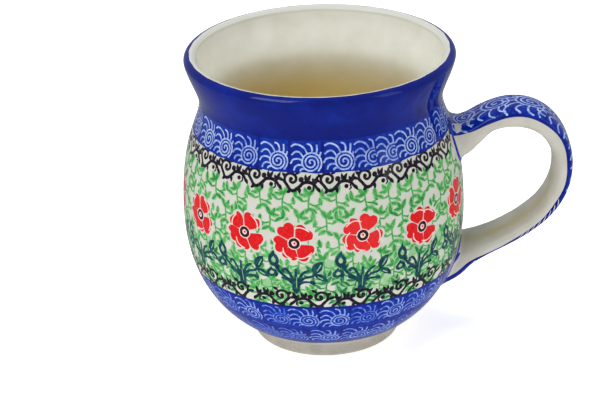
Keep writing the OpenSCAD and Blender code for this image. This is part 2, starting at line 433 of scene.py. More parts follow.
def spray_motif():
    """A teal spray: a fan of stems with two ringed leaves and solid ones."""
    marks = [(stroke(points, 1.15 * width, ends), "teal") for points, width, ends in SPRAY_STEMS]
    marks += [(leaf(base, tip, 1.2 * width), "teal") for base, tip, width in SPRAY_LEAVES]
    for centre, wide, high, lean in SPRAY_LOOPS:
        bud = disc((0, 0), 1, 16) * [wide, high]
        tip = [(0.35 * wide, 1.5 * high)]
        teardrop = turned(np.vstack([bud[:4], tip, bud[5:]]), lean)
        marks += [(teardrop * 1.3 + centre, "teal"), (teardrop * 0.5 + centre, "green_wash")]
    marks += [(stroke(points, width), "green_wash") for points, width in SPRAY_VEINS]
    return marks


# ---- the wall's flat map: across is the angle from +X at this radius, up is the arc length ----
MAP_R = 48.0
MAP_LENGTH = 2 * math.pi * MAP_R
SEAM_AZIMUTH = 90.0
WALL_GRID = 2.0
wall = Sheet(MAP_LENGTH, WALL_GRID)
rng = random.Random(7)


def put_on_wall(marks, band, azimuth, height, load=1.0, lean=0.0, size=1.0, flip=1.0):
    """Prints a motif in a band of the wall, azimuth degrees from -Y towards +X, at a height."""
    s0 = outside.s_at_height(height)
    angle = math.radians((azimuth - SEAM_AZIMUTH) % 360)
    for outline, paint in marks:
        p = turned(outline, lean, size, flip)
        s = s0 + p[:, 1]
        wall.put(np.stack([MAP_R * (angle + p[:, 0] / outside.at(s)[0]), s], 1), paint, load, band)


def wavy(height, size, waves, rng):
    """A line round the wall at a height, uneven by about size millimetres, without a step at the seam."""
    x = np.linspace(0, MAP_LENGTH, 241)
    s = np.full_like(x, outside.s_at_height(height))
    for wave in waves:
        s += size * rng.uniform(0.4, 1) * np.sin(2 * math.pi * wave * x / MAP_LENGTH + rng.uniform(0, 6.3))
    return np.stack([x, s], 1)


# ---- what is painted on the wall ----
LOWER, FIELD, UPPER, COLLAR, CREST = range(5)
glaze_edge = wavy(9.4, 0.22, (2, 5, 9, 17), rng)
lower_line = wavy(30.7, 0.10, (2, 7, 23, 41), rng)
upper_line = wavy(78.4, 0.10, (3, 8, 21, 37), rng)
collar_line = wavy(88.9, 0.07, (3, 9, 29), rng)
crest_line = wavy(MUG_H, 0.08, (2, 5, 11, 31), rng) - [0, 0.2]
BAND_LINES = [lower_line, upper_line, collar_line, crest_line]


# How far the shell sits right of the middle of its block, to leave room for its rays
SHELL_SHIFT = 1.7


def stamp_row(band, height, azimuths, block, line_loads):
    """A row of shell stamps, each on its own block of blue given as (width, foot, head)."""
    wide, low, high = block
    for azimuth in azimuths:
        load = rng.uniform(0.55, 1.0)
        if band == LOWER:
            load = 0.6 + 0.4 * load
        corner = rng.uniform(-0.25, 0.25)
        side = wide / 2
        outline = np.array([(-side, low), (0, low - 0.15), (side, low + corner), (side + 0.1, 0),
                            (side, high), (0, high + 0.2), (-side + corner, high), (-side - 0.1, 0)])
        tilt = rng.uniform(-4, 4)
        put_on_wall([(outline - [SHELL_SHIFT, 0], "stamp_ground")], band, azimuth, height, load, 0.4 * tilt)
        put_on_wall(shell_stamp(rng.uniform(0.48, 0.60)), band, azimuth, height, rng.uniform(*line_loads),
                    tilt, rng.uniform(0.92, 0.98))


def spread(first, count, jitter):
    """Azimuths of prints set side by side round the wall by hand."""
    return [first + 360 * k / count + rng.uniform(-jitter, jitter) for k in range(count)]


# Heights of the rows of stamps, and azimuths of the upper ones: listed one by one in front, evenly round the
# back
LOWER_ROWS, UPPER_ROW = (14.2, 23.9), 81.7
UPPER_STAMPS = [-61.5, -48.3, -34.4, -19.8, -5.0, 9.6, 23.0, 33.0, 43.3, 56.6, 71.9]
UPPER_STAMPS += [86 + 14.1 * k for k in range(15)]


def paint_bands():
    """The blue bands above and below the flowers."""
    stamp_row(UPPER, UPPER_ROW, UPPER_STAMPS, (9.8, -3.6, 7.0), (0.55, 1.0))
    stamp_row(LOWER, LOWER_ROWS[0], spread(0.5, 24, 1.0), (8.6, -5.2, 4.6), (0.0, 0.4))
    stamp_row(LOWER, LOWER_ROWS[1], spread(5.5, 27, 1.0), (9.4, -4.6, 6.2), (0.05, 0.55))


# Heights in the flower field
LOWER_BORDER, UPPER_BORDER = 34.3, 76.0
SPRAY_FOOT = 36.4
SPRIG_ROWS = (71.5, 64.3, 57.2, 50.2, 45.2, 41.0, 37.0)
SPRAYS = (-59, -35, -12, 14, 40, 66, 93, 119, 146, 172, 198, 225, 251, 277)
# Poppies as (azimuth, height); the pale one is a print that ran short of paint
POPPIES = (
    (-59, 56), (-33, 56.5), (-12, 55), (15, 57), (42, 54.5), (68, 56), (94, 55.5), (121, 56.5),
    (147, 55), (174, 56.5), (200, 55.5), (227, 56), (252, 55), (276, 56.5))
PALE_POPPY = 15


def paint_field():
    """Green sprigs, teal sprays, poppies and the two black borders."""
    for azimuth in spread(-60, 60, 2.0):
        smear = disc((0, 0), 1, 16, 0.25, rng) * [rng.uniform(2.5, 4.5), rng.uniform(1.5, 3.5)]
        put_on_wall([(smear, "green_wash")], FIELD, azimuth, rng.uniform(36, 49), rng.uniform(0.2, 0.8))
    for row, height in enumerate(SPRIG_ROWS):
        for azimuth in spread(-60 + 5.3 * row, 33 - row // 4, 0.8):
            flip = rng.choice([-1, 1]) if row else 1
            paint = "deep_green" if row > 3 and rng.random() < 0.6 else "leaf_green"
            put_on_wall(sprig_motif(paint), FIELD, azimuth, height + rng.uniform(-0.7, 0.7),
                        rng.uniform(0.45, 1.0), rng.uniform(-9, 9), rng.uniform(0.92, 1.05), flip)
    for azimuth in SPRAYS:
        put_on_wall(spray_motif(), FIELD, azimuth, SPRAY_FOOT + rng.uniform(-0.4, 0.4), rng.uniform(0.7, 1.0),
                    rng.uniform(-4, 4), rng.uniform(0.97, 1.03))
    for azimuth, height in POPPIES:
        load = 0.45 if azimuth == PALE_POPPY else rng.uniform(0.85, 1.0)
        put_on_wall(poppy_motif(rng), FIELD, azimuth, height, load, rng.uniform(-28, 28))
    for azimuth in spread(-41.0, 23, 0.5):
        put_on_wall(scroll_motif(), FIELD, azimuth - 7, UPPER_BORDER, rng.uniform(0.75, 1),
                    rng.uniform(-2, 2), 0.92)
    for azimuth in spread(-33.0, 21, 0.9):
        put_on_wall(scroll_motif(), FIELD, azimuth, LOWER_BORDER, rng.uniform(0.8, 1),
                    rng.uniform(-3, 3), 0.98, -1)


# ---- materials ----
def linear(rgb):
    """A 0-255 screen colour as linear light, with alpha."""
    return [(v / 255 / 12.92) if v < 10 else ((v / 255 + 0.055) / 1.055) ** 2.4 for v in rgb] + [1.0]


# The glaze's slow swell and its orange peel: (size in mm, depth in mm, strength)
RIPPLES = (16, 0.25, 0.35), (2.2, 0.02, 0.35)


class Look:
    """A material while its nodes are put together. A value is a socket, a number or a colour."""

    def __init__(self, name):
        self.mat = bpy.data.materials.new(name)
        self.mat.use_nodes = True
        self.tree = self.mat.node_tree
        self.tree.nodes.clear()
        shader = self.node("BsdfPrincipled")
        self.shader = shader.inputs
        self.put(self.node("OutputMaterial").inputs["Surface"], shader.outputs["BSDF"])
        self.place = self.node("TexCoord").outputs["Object"]

    def node(self, kind):
        return self.tree.nodes.new("ShaderNode" + kind)

    def put(self, socket, value):
        """Links a value to a socket, or stores it there."""
        if isinstance(value, bpy.types.NodeSocket):
            self.tree.links.new(value, socket)
        else:
            socket.default_value = value

    def noise(self, size, detail, place=None):
        """Noise whose lumps are about size millimetres, from 0 to 1."""
        node = self.node("TexNoise")
        node.inputs["Scale"].default_value = 1000 / size
        node.inputs["Detail"].default_value = detail
        self.put(node.inputs["Vector"], place or self.place)
        return node.outputs["Fac"]

    def attribute(self, name):
        node = self.node("Attribute")
        node.attribute_name = name
        return node.outputs["Fac"]

    def calc(self, how, a, b, clamp=False):
        """One step of arithmetic."""
        node = self.node("Math")
        node.operation = how
        node.use_clamp = clamp
        self.put(node.inputs[0], a)
        self.put(node.inputs[1], b)
        return node.outputs["Value"]

    def blend(self, share, a, b):
        """Colour a where share is 0, b where it is 1."""
        node = self.node("Mix")
        node.data_type = "RGBA"
        self.put(node.inputs["Factor"], share)
        self.put(node.inputs[6], a)
        self.put(node.inputs[7], b)
        return node.outputs[2]

    def remap(self, value, low, high, to_low=0.0, to_high=1.0):
        """Stretches a value from low..high to to_low..to_high, clamped."""
        node = self.node("MapRange")
        for socket, number in zip(list(node.inputs)[:5], (value, low, high, to_low, to_high)):
            self.put(socket, number)
        return node.outputs["Result"]

    def patches(self, size, detail=3.0, low=0.35, high=0.7, to_low=0.0, to_high=1.0):
        """Soft patches about size millimetres across."""
        return self.remap(self.noise(size, detail), low, high, to_low, to_high)

    def bumps(self, *layers):
        """Stacks bump layers of (height socket, depth in millimetres, strength)."""
        for height, depth, strength in layers:
            node = self.node("Bump")
            node.inputs["Distance"].default_value = depth * 0.001
            node.inputs["Strength"].default_value = strength
            self.put(node.inputs["Height"], height)
            if self.shader["Normal"].is_linked:
                self.put(node.inputs["Normal"], self.shader["Normal"].links[0].from_socket)
            self.put(self.shader["Normal"], node.outputs["Normal"])

    def glazed(self, colour):
        """Finishes the material as that colour under clear glaze, faintly uneven and rippled."""
        self.put(self.shader["Base Color"], colour)
        self.shader["IOR"].default_value = 1.5
        self.shader["Specular IOR Level"].default_value = 0.3
        self.put(self.shader["Roughness"], self.patches(3.5, 2.0, to_low=0.05, to_high=0.14))
        self.bumps(*((self.noise(size, 1.0), depth, strength) for size, depth, strength in RIPPLES))
        return self.mat


# Paint: (full colour, thin colour, size of the mottling in mm, its share, the share of a light print)
PAINTS = {
    "collar": ((2, 20, 110), (4, 36, 142), 9.0, 0.9, 0.0),
    "band_gap": ((2, 20, 116), (6, 44, 156), 2.5, 0.9, 0.0),
    "stamp_ground": ((0, 28, 138), (12, 62, 166), 1.3, 0.9, 0.5),
    "stamp_line": ((182, 202, 238), (50, 88, 188), 1.2, 0.8, 0.8),
    "cream": ((205, 203, 194), (190, 201, 184), 5.0, 0.9, 0.0),
    "green_wash": ((122, 182, 124), (176, 200, 164), 1.4, 1.0, 0.6),
    "leaf_green": ((34, 132, 56), (92, 178, 98), 1.3, 1.1, 0.7),
    "deep_green": ((22, 100, 62), (64, 152, 92), 1.3, 1.1, 0.7),
    "petal_gap": ((240, 214, 208), (238, 176, 170), 1.5, 0.8, 0.0),
    "red": ((208, 2, 14), (224, 46, 48), 0.8, 0.7, 1.0),
    "ring": ((20, 14, 24), (70, 42, 54), 1.0, 0.9, 0.3),
    "teal": ((6, 46, 62), (30, 92, 98), 1.2, 1.0, 0.5),
    "outline_blue": ((24, 40, 140), (50, 80, 190), 1.5, 0.9, 0.0),
    "black": ((12, 8, 18), (46, 36, 60), 1.1, 0.9, 0.5),
}


def painted(name):
    """Underglaze paint: thicker and thinner by mottling and by how loaded the stamp or brush was."""
    full, thin, size, mottle, print_share = PAINTS[name]
    look = Look(name)
    grain = look.patches(size, 4.0, 0.42, 0.78, 0.0, mottle)
    light = look.calc("MULTIPLY", look.calc("SUBTRACT", 1.0, look.attribute("load")), print_share)
    speck = look.patches(0.35, 2.0, 0.3, 0.75, -0.12, 0.14)
    share = look.calc("ADD", look.calc("ADD", grain, light), speck, clamp=True)
    return look.glazed(look.blend(share, linear(full), linear(thin)))


# Heights in metres where the painted shade starts to turn the liner tan, is all tan, and darkens the lip top
SHADE_TAN_STARTS, SHADE_TAN_FULL = 0.088, 0.070
LIP_SHADE_STARTS, LIP_SHADE_FULL = 0.1028, 0.1046
LINER_CREAM = (242, 243, 234), (234, 236, 224)
# Painted shade: the tan that stands in for the shade deep inside the mug
LINER_SHADE_TAN = (228, 210, 148), (220, 202, 144)
# Painted shade: the darker cream over the top of the lip, which tones down its strong light from above
LINER_LIP_SHADE = (206, 207, 200)


def liner():
    """The cream inside, with painted shade: tan from under the neck down and darker on top of the lip."""
    look = Look("liner")
    split = look.node("SeparateXYZ")
    look.put(split.inputs["Vector"], look.place)
    height = look.calc("ADD", split.outputs["Z"], look.patches(20, 2.0, 0.3, 0.7, -0.0012, 0.0012))
    # Painted shade: the inside turns tan with depth, standing in for its shade
    depth = look.remap(height, SHADE_TAN_STARTS, SHADE_TAN_FULL)
    depth.node.interpolation_type = "SMOOTHSTEP"
    cream = look.blend(look.patches(7), *map(linear, LINER_CREAM))
    # The painted shade's tan, faintly uneven
    shade_tan = look.blend(look.patches(9), *map(linear, LINER_SHADE_TAN))
    # Painted shade: darker cream over the top of the lip, against its strong light from above
    thin = look.blend(look.remap(split.outputs["Z"], LIP_SHADE_STARTS, LIP_SHADE_FULL), cream, linear(LINER_LIP_SHADE))
    return look.glazed(look.blend(depth, thin, shade_tan))


def bare(name, light, dark, turning):
    """Unglazed stoneware: matte, sandy, with turning marks of the given strength."""
    look = Look(name)
    sand = look.noise(0.7, 4.0)
    grains = look.remap(sand, 0.4, 0.75, -0.15, 0.45)
    share = look.calc("ADD", look.patches(6, to_high=0.7), grains, clamp=True)
    look.put(look.shader["Base Color"], look.blend(share, linear(light), linear(dark)))
    look.put(look.shader["Roughness"], look.remap(sand, 0.3, 0.7, 0.62, 0.85))
    rings = look.node("Mapping")
    rings.inputs["Scale"].default_value = (0.04, 0.04, 1.0)
    look.put(rings.inputs["Vector"], look.place)
    marks = look.noise(1.0, 1.0, rings.outputs["Vector"])
    look.bumps((marks, 0.10, turning), (sand, 0.05, 0.5))
    return look.mat


STRAP_CREAM = (198, 195, 186), (188, 185, 174)
STRAP_TAN = (188, 180, 146)


def strap_cream():
    """The handle's cream, with a tan streak along the middle of the finger side."""
    look = Look("strap_cream")
    uneven = look.patches(6, 3.0, 0.3, 0.7, 0.5, 1.15)
    share = look.calc("MULTIPLY", look.attribute("finger_streak"), uneven, clamp=True)
    cream = look.blend(look.patches(6), *map(linear, STRAP_CREAM))
    return look.glazed(look.blend(share, cream, linear(STRAP_TAN)))


MAKERS = {"liner": liner, "strap_cream": strap_cream,
          "clay": lambda: bare("clay", (186, 181, 170), (162, 155, 142), 0.6),
          "slip": lambda: bare("slip", (206, 196, 178), (184, 170, 148), 0.1)}


def material(name):
    """The material of that name, made the first time it is asked for."""
    found = bpy.data.materials.get(name)
    return found or (MAKERS[name]() if name in MAKERS else painted(name))


# ---- meshes ----
def show(name, data):
    """A new object in the scene that shows a mesh, a camera or a light."""
    thing = bpy.data.objects.new(name, data)
    bpy.context.scene.collection.objects.link(thing)
    return thing


def welded(flat, faces, length):
    """Faces whose points on the far side of the seam are replaced by those on the near side."""
    near = np.nonzero(np.abs(flat[:, 0]) < 1e-6)[0]
    near = near[np.argsort(flat[near, 1])]
    far = np.nonzero(np.abs(flat[:, 0] - length) < 1e-6)[0]
    heights = flat[near, 1]
    spot = np.clip(np.searchsorted(heights, flat[far, 1]), 1, len(near) - 1)
    spot -= np.abs(heights[spot - 1] - flat[far, 1]) < np.abs(heights[spot] - flat[far, 1])
    same = np.abs(heights[spot] - flat[far, 1]) < 1e-3
    swap = np.arange(len(flat))
    swap[far[same]] = near[spot[same]]
    faces = swap[faces]
    real = (faces[:, 0] != faces[:, 1]) & (faces[:, 1] != faces[:, 2]) & (faces[:, 2] != faces[:, 0])
    return faces, real


def normals_of(place, flat):
    """Unit normals of a placed map, from small steps across and up it."""
    step = 0.02
    across = place(flat[:, 0] + step, flat[:, 1]) - place(flat[:, 0] - step, flat[:, 1])
    up = place(flat[:, 0], flat[:, 1] + step) - place(flat[:, 0], flat[:, 1] - step)
    return unit(np.cross(across, up))


def shell(points, faces, normals, depth):
    """A closed skin: the sheet, the same sheet depth millimetres behind it, and a rim round its edges."""
    count = len(points)
    points = np.vstack([points, points - depth * normals])
    sides = np.vstack([faces[:, [0, 1]], faces[:, [1, 2]], faces[:, [2, 0]]])
    codes = sides.min(1) * count + sides.max(1)
    _, first, uses = np.unique(codes, return_index=True, return_counts=True)
    rim = sides[first[uses == 1]]
    rim_faces = np.vstack([np.stack([rim[:, 1], rim[:, 0], rim[:, 0] + count], 1),
                           np.stack([rim[:, 1], rim[:, 0] + count, rim[:, 1] + count], 1)])
    return points, np.vstack([faces, faces[:, ::-1] + count, rim_faces]), np.vstack([normals, -normals])


def add_piece(name, points, faces, normals, paints, indexes=None, loads=None):
    """A mesh of a piece from points in millimetres, with its own normals where they are given."""
    mesh = bpy.data.meshes.new(name)
    mesh.from_pydata(mm(points).tolist(), [], faces if isinstance(faces, list) else faces.tolist())
    for paint in paints:
        mesh.materials.append(material(paint))
    if indexes is not None:
        indexes = np.concatenate([indexes, np.zeros(len(mesh.polygons) - len(indexes), int)])
        mesh.polygons.foreach_set("material_index", indexes.astype(np.int32))
    if loads is not None:
        loads = np.concatenate([loads, np.ones(len(mesh.polygons) - len(loads))])
        mesh.attributes.new("load", "FLOAT", "FACE").data.foreach_set("value", loads.astype(np.float32))
    mesh.polygons.foreach_set("use_smooth", [True] * len(mesh.polygons))
    if normals is not None:
        mesh.normals_split_custom_set_from_vertices(normals.tolist())
    mesh.update()
    return show(name, mesh)


def add_skin(name, place, flat, faces, depth, paints, indexes, loads):
    """A closed painted skin from some triangles of a map."""
    used, faces = np.unique(faces, return_inverse=True)
    faces = faces.reshape(-1, 3)
    flat = flat[used]
    points, faces, normals = shell(place(*flat.T), faces, normals_of(place, flat), depth)
    return add_piece(name, points, faces, normals, paints, indexes, loads)


# The glaze's lower edge rolls down to the clay over this length
EDGE_ROLL = 0.5
# How far the skins lie inside the faces that the CAD model gives them
INSET = 0.03


def place_on_wall(x, s):
    """Points of the wall's map, in millimetres round the mug."""
    above = np.clip((s - np.interp(x, *glaze_edge.T)) / EDGE_ROLL, 0, 1)
    out = -0.9 * GLAZE * (1 - np.sqrt(1 - (1 - above) ** 2)) - INSET
    r, z, _, _ = outside.at(s, out)
    angle = x / MAP_R
    return np.stack([r * np.cos(angle), r * np.sin(angle), z], 1)


# The crest band's ground is the liner's material, with its painted shade over the top of the lip
BAND_GROUNDS = ["band_gap", "cream", "band_gap", "collar", "liner"]
BAND_PIECES = {"lower_stamp_band": (LOWER,), "flower_field": (FIELD,), "upper_stamp_band": (UPPER,),
               "collar_band": (COLLAR, CREST)}
LINER_COLUMNS = int(MAP_LENGTH / WALL_GRID)


def root_holes():
    """Outlines of the places under the handle's roots, which the painted skin leaves open."""
    holes = []
    for _, _, corner, _ in (UPPER_ROOT, LOWER_ROOT):
        ring = corner[:-1:4]
        x = np.arctan2(ring[:, 1], ring[:, 0]) * MAP_R
        s = np.interp(ring[:, 2], outside.z[:WALL_TOP], outside.s[:WALL_TOP])
        outline = finely(np.stack([x, s], 1), WALL_GRID)
        holes += [outline, outline + [MAP_LENGTH, 0]]
    return holes


def make_wall():
    """The painted outer skin, one piece for each band."""
    holes = root_holes()
    grid = seam_safe_grid(MAP_LENGTH, glaze_edge[:, 1].max() + EDGE_ROLL, WALL_LENGTH, WALL_GRID)
    # Rows close together over the lip, and lines along the rolled lower edge
    lip = [(x, s) for s in np.linspace(CREST_S - 4.5, WALL_LENGTH, 17) for x, _ in glaze_edge]
    rolls = [glaze_edge + [0, EDGE_ROLL * v] for v in (0, 0.04, 0.13, 0.3, 0.6, 1)]
    flat, faces, mid = wall.triangles(0, WALL_LENGTH, grid + lip, BAND_LINES + rolls
                                      + [np.vstack([hole, hole[:1]]) for hole in holes])
    bands = sum((mid[:, 1] > np.interp(mid[:, 0], *line.T)).astype(int) for line in BAND_LINES)
    names, paint, load = wall.painted_faces(mid, bands, BAND_GROUNDS)
    faces, real = welded(flat, faces, MAP_LENGTH)
    real &= mid[:, 1] > np.interp(mid[:, 0], *glaze_edge.T)
    for hole in holes:
        real &= ~covers(hole, *mid.T)
    for name, members in BAND_PIECES.items():
        pick = real & np.isin(bands, members)
        used, index = np.unique(paint[pick], return_inverse=True)
        piece = add_skin(name, place_on_wall, flat, faces[pick], 0.85 * GLAZE,
                         [names[k] for k in used], index, load[pick])
        finish_piece(piece, "outer_glaze")


def finish_piece(piece, node):
    """Puts a piece on the root body and hides the CAD node that it stands for."""
    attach(piece, "root")
    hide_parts(node)


def lathe(profile, columns):
    """Points and faces of a turned shape from [r, z] points; a radius of 0 becomes one point."""
    points, rows = [], []
    for r, z in profile:
        if r < 1e-6:
            rows.append([len(points)] * columns)
            points.append((0, 0, z))
            continue
        rows.append(list(range(len(points), len(points) + columns)))
        angles = 2 * math.pi * np.arange(columns) / columns
        points += [(r * math.cos(a), r * math.sin(a), z) for a in angles]
    faces = []
    for low, high in zip(rows, rows[1:]):
        for i in range(columns):
            k = (i + 1) % columns
            ring = list(dict.fromkeys([low[i], low[k], high[k], high[i]]))
            if len(ring) > 2:
                faces.append(ring)
    return np.array(points, float), faces


def add_turned(name, profile, columns, paint, node):
    """A turned piece, finished."""
    points, faces = lathe(profile, columns)
    finish_piece(add_piece(name, points, faces, None, [paint]), node)


def make_body():
    """The clay casting under the glaze: foot ring, wall and floor."""
    recess_r = FOOT_R - FOOT_W
    roof = [(0, RECESS_H + GLAZE), (12, RECESS_H + GLAZE), (recess_r - 1, RECESS_H + GLAZE)]
    corner, _ = arc((recess_r + 1, RECESS_H - 0.6), 1.0, 90, 180, 5)
    inner_edge, _ = arc((recess_r + 1.2, 0.7), 0.7, 180, 270, 6)
    outer_edge, _ = arc((FOOT_R - FOOT_EDGE, FOOT_EDGE), FOOT_EDGE, -90, 0, 10)
    start, _ = cubic(FOOT_TO_BELLY, np.linspace(0, GLAZE_START, 12))
    glazed = Profile(RISE + [arc(LIP_C, LIP_ROUND, 0, 180, 13)] + FALL)
    r, z, _, _ = glazed.at(glazed.s, -GLAZE)
    under_glaze = np.stack([np.maximum(r, 0), z], 1)[3:]
    profile = np.vstack([roof, corner, inner_edge, outer_edge, start, under_glaze])
    add_turned("stoneware_body", profile, 192, "clay", "body_casting")


def make_liner():
    """The cream coat inside, from the far side of the lip down to the middle of the floor."""
    s = np.linspace(0, inside.s[-1], 90)
    front = np.stack(inside.at(s, -INSET)[:2], 1)
    back = np.stack(inside.at(s, -0.9 * GLAZE)[:2], 1)[::-1]
    front[-1, 0] = back[0, 0] = 0
    add_turned("liner_coat", np.vstack([front, back, front[:1]]), LINER_COLUMNS, "liner",
               "inner_glaze")


def make_base_coat():
    """The thin coat in the recess under the foot."""
    edge = FOOT_R - FOOT_W - 1
    profile = [(0, RECESS_H + 0.02), (edge - 0.3, RECESS_H + 0.02), (edge - 0.1, RECESS_H + 0.1),
               (edge, RECESS_H + 0.3), (edge, RECESS_H + GLAZE - 0.01), (0, RECESS_H + GLAZE - 0.01)]
    # This coat takes the liner's material, which at this height is all its painted shade tan
    add_turned("base_coat", profile, 96, "liner", "base_glaze")


# ---- the strap handle ----
T, W = STRAP_T, STRAP_W
STATIONS = np.array([
    [34, 69.8, T + 4.6, W + 1.5], [46, 71.5, T + 3.5, W + 1], [51, 73.8, T + 1.9, W + 0.4],
    [57, 78, T + 0.8, W], [64, 79.9, T + 1.1, W], [71.5, 79, T + 1.2, W], [77.8, 74.8, T + 0.9, W],
    [81.8, 67.9, T + 0.7, W], [82.7, 60, T + 0.6, W], [81, 52.2, T + 0.4, W], [76.5, 44.9, T + 0.1, W],
    [69.5, 38.9, T, W], [62, 34.5, T, W], [55.4, 31.5, T + 0.5, W], [49, 28.8, T + 1.8, W + 0.4],
    [42.9, 25.3, T + 3.4, W + 1], [33, 21.6, T + 4.5, W + 1.5]])
LAST = len(STATIONS) - 1
BACK_N, FINGER_N = 3.6, 2.6


def strap_at(u):
    """[x, z, half thickness, half width] on the smooth curve through the stations."""
    k = np.clip(np.floor(u).astype(int), 0, LAST - 1)
    t = (u - k)[:, None]

    def slope(i):
        after, before = np.minimum(i + 1, LAST), np.maximum(i - 1, 0)
        return (STATIONS[after] - STATIONS[before]) / (after - before)[:, None]

    return ((2 * t**3 - 3 * t * t + 1) * STATIONS[k] + (t**3 - 2 * t * t + t) * slope(k)
            + (3 * t * t - 2 * t**3) * STATIONS[k + 1] + (t**3 - t * t) * slope(k + 1))


def section(a, half_t, half_w):
    """The strap's outline at the angle a from the middle of its back, as outwards and across."""
    n = np.where(np.cos(a) > 0, BACK_N, FINGER_N)
    out = half_t * np.sign(np.cos(a)) * np.abs(np.cos(a)) ** (2 / n)
    across = half_w * np.sign(np.sin(a)) * np.abs(np.sin(a)) ** (2 / n)
    return out, across


def strap_point(a, u):
    """Points on the strap's surface."""
    s = strap_at(u)
    ahead = strap_at(np.minimum(u + 0.05, LAST)) - strap_at(np.maximum(u - 0.05, 0))
    way = unit(ahead[:, :2])
    out, across = section(a, s[:, 2], s[:, 3])
    return np.stack([s[:, 0] - way[:, 1] * out, across, s[:, 1] + way[:, 0] * out], 1)


# The section's angle against the distance round it, from the middle of the finger side
ROUND_A = np.linspace(math.pi, -math.pi, 1441)
round_xy = np.stack(section(ROUND_A, T, W), 1)
ROUND_D = run_along(round_xy)
STRAP_ROUND = float(ROUND_D[-1])


def onto_wall(points):
    """The same points moved level onto the painted wall."""
    r = np.hypot(points[:, 0], points[:, 1])
    wall_r = np.interp(points[:, 2], outside.z[:WALL_TOP], outside.r[:WALL_TOP]) - 0.02
    return points * np.stack([wall_r / r, wall_r / r, np.ones(len(r))], 1)


def wall_normal(points):
    """Outward normals of the wall near the points."""
    s = np.interp(points[:, 2], outside.z[:WALL_TOP], outside.s[:WALL_TOP])
    _, _, nr, nz = outside.at(s)
    r = np.hypot(points[:, 0], points[:, 1])
    return np.stack([points[:, 0] / r * nr, points[:, 1] / r * nr, nz], 1)


def meeting(a, inner, outer):
    """Where along the strap its surface meets the wall, between a place inside it and one outside."""
    low, high = np.full(len(a), float(inner)), np.full(len(a), float(outer))
    for _ in range(40):
        mid = 0.5 * (low + high)
        p = strap_point(a, mid)
        buried = np.hypot(p[:, 0], p[:, 1]) < np.hypot(*onto_wall(p)[:, :2].T)
        low, high = np.where(buried, mid, low), np.where(buried, high, mid)
    return 0.5 * (low + high)


FILLET = 3.0
COLUMN_D = np.linspace(0, STRAP_ROUND, 361)
COLUMN_A = np.interp(COLUMN_D, ROUND_D, ROUND_A)
FINE_U = np.linspace(0, LAST, 801)
FINE_LENGTH = run_along(strap_at(FINE_U)[:, :2])


def root(inner, outer, step):
    """For each column of the section: the strap's end place, and the three points of the root's curve."""
    u = meeting(COLUMN_A, inner, outer)
    corner = onto_wall(strap_point(COLUMN_A, u))
    speed = np.linalg.norm(strap_point(COLUMN_A, u + step * 0.02) - strap_point(COLUMN_A, u), axis=1) / 0.02
    u_end = u + step * FILLET / speed
    on_strap = strap_point(COLUMN_A, u_end)
    turn = np.roll(corner[:-1], -1, axis=0) - np.roll(corner[:-1], 1, axis=0)
    turn = np.vstack([turn, turn[:1]])
    away = unit(np.cross(turn, wall_normal(corner)))
    middle = corner.mean(0)
    away *= np.sign(((corner - middle) * away).sum(1))[:, None]
    on_wall = onto_wall(corner + FILLET * away)
    return u_end, on_wall, corner, on_strap


UPPER_ROOT = root(0.0, 4.0, 1)
LOWER_ROOT = root(LAST, 12.0, -1)
STRAP_RUN = 2 * FILLET + float(np.interp(LOWER_ROOT[0].mean(), FINE_U, FINE_LENGTH)
                               - np.interp(UPPER_ROOT[0].mean(), FINE_U, FINE_LENGTH))


def by_column(table, x):
    """Values of a table of columns at the distances x round the section."""
    return np.stack([np.interp(x, COLUMN_D, v) for v in np.atleast_2d(table.T)], 1)


def place_on_strap(x, y):
    """Points of the handle's map: x goes round the section, y from the upper root to the lower one."""
    x = np.mod(x, STRAP_ROUND)
    start = np.interp(by_column(UPPER_ROOT[0], x)[:, 0], FINE_U, FINE_LENGTH)
    end = np.interp(by_column(LOWER_ROOT[0], x)[:, 0], FINE_U, FINE_LENGTH)
    share = np.clip((y - FILLET) / (STRAP_RUN - 2 * FILLET), 0, 1)
    u = np.interp(start + share * (end - start), FINE_LENGTH, FINE_U)
    points = strap_point(np.interp(x, ROUND_D, ROUND_A), u)
    for rooted, t in ((UPPER_ROOT, y / FILLET), (LOWER_ROOT, (STRAP_RUN - y) / FILLET)):
        t = np.clip(t, -0.05, 1)[:, None]
        a, b, c = (by_column(v, x) for v in rooted[1:])
        c = np.where(t < 1, c, points)
        curve = (1 - t) ** 2 * a + 2 * t * (1 - t) * b + t * t * c
        points = np.where(t < 1, curve, points)
    return points


# ---- what is painted on the handle ----
STRAP_GRID = 1.0
strap = Sheet(STRAP_ROUND, STRAP_GRID)
BACK_MID = STRAP_ROUND / 2
# Half the width of the blue back, measured round the section
BACK_HALF = 9.5
# How far the blue edge is in at the upper root, and how far out where the strap turns under
EDGE_IN, EDGE_OUT = 1.5, 0.5


def strap_edge(side):
    """The wavy edge of the blue back of the strap, from root to root."""
    y = np.linspace(0, STRAP_RUN, 121)
    x = np.full_like(y, BACK_HALF) + 0.2 * np.sin(y / 9 + side) + 0.12 * np.sin(y / 2.6 + 2 * side)
    x -= EDGE_IN * np.exp(-(y / 9) ** 2) + 0.2 * np.exp(-((y - STRAP_RUN) / 9) ** 2)
    x += EDGE_OUT * np.exp(-((y - 0.64 * STRAP_RUN) / 13) ** 2)
    x -= 0.12 * np.clip(y / STRAP_RUN - 0.45, 0, 0.2) / 0.2
    return np.stack([BACK_MID + side * x, y], 1)


def put_on_strap(marks, x, y, load=1.0, lean=0.0, size=1.0):
    """Prints a motif on the strap, x millimetres from the middle of its back."""
    for outline, paint in marks:
        strap.put(turned(outline, lean, size) + [BACK_MID + x, y], paint, load)


STRAP_BLOCK = np.array([(-8.2, -4.9), (8.6, -4.8), (8.5, 4.4), (-8.3, 4.6)])
# Half the width of the line round each root
ROOT_LINE = 0.38
# A place by the upper root that the brush missed
MISSED = np.array([(-2.3, -1.2), (0, -1.4), (2.2, -1.3), (1.9, 0.7), (0.2, 1.3), (-2.0, 1.2)])


